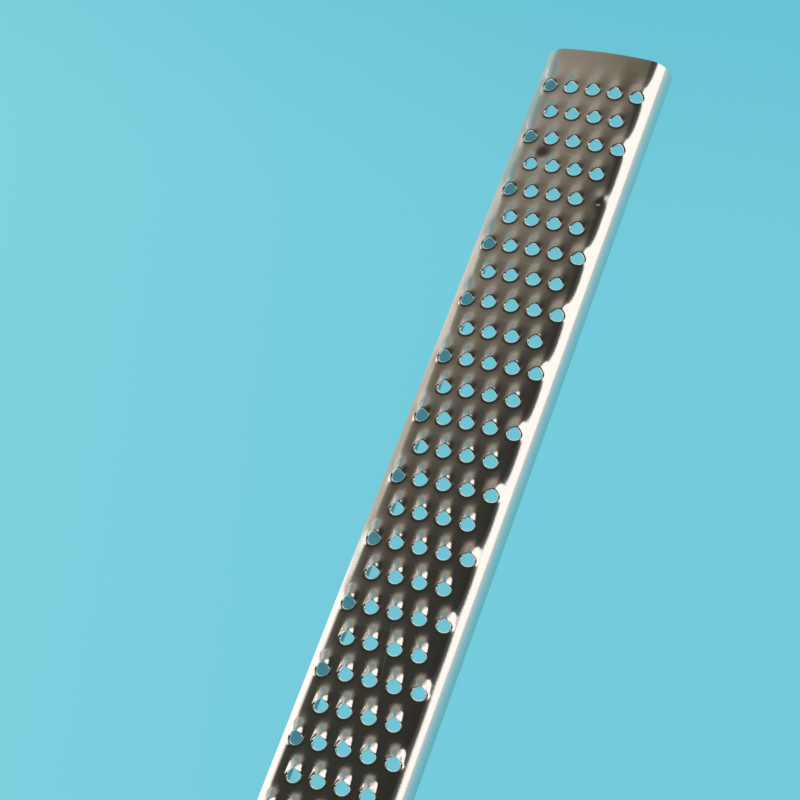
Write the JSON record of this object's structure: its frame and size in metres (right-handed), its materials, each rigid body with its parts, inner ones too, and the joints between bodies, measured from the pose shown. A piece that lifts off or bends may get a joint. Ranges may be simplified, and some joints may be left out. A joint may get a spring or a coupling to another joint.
{
  "type": "cheese grater",
  "caption": "Hand-held grater: a narrow arched steel blade with rows of hooded punched teeth, held in a moulded handle with a hanging hole.",
  "frame": {"origin": "middle of the footprint, on the surface that the grater lies on", "axes": "+X across the blade, +Y along it towards the tip, +Z out of the side that grates"},
  "size_m": [0.035, 0.3386, 0.019],
  "materials": {
    "polished_steel": "mirror-polished stainless steel sheet with faint rubbing marks",
    "handle_plastic": "dark moulded plastic with a fine satin texture"
  },
  "bodies": {
    "root": {"blade": "polished_steel", "handle": "handle_plastic"}
  },
  "joints": []
}
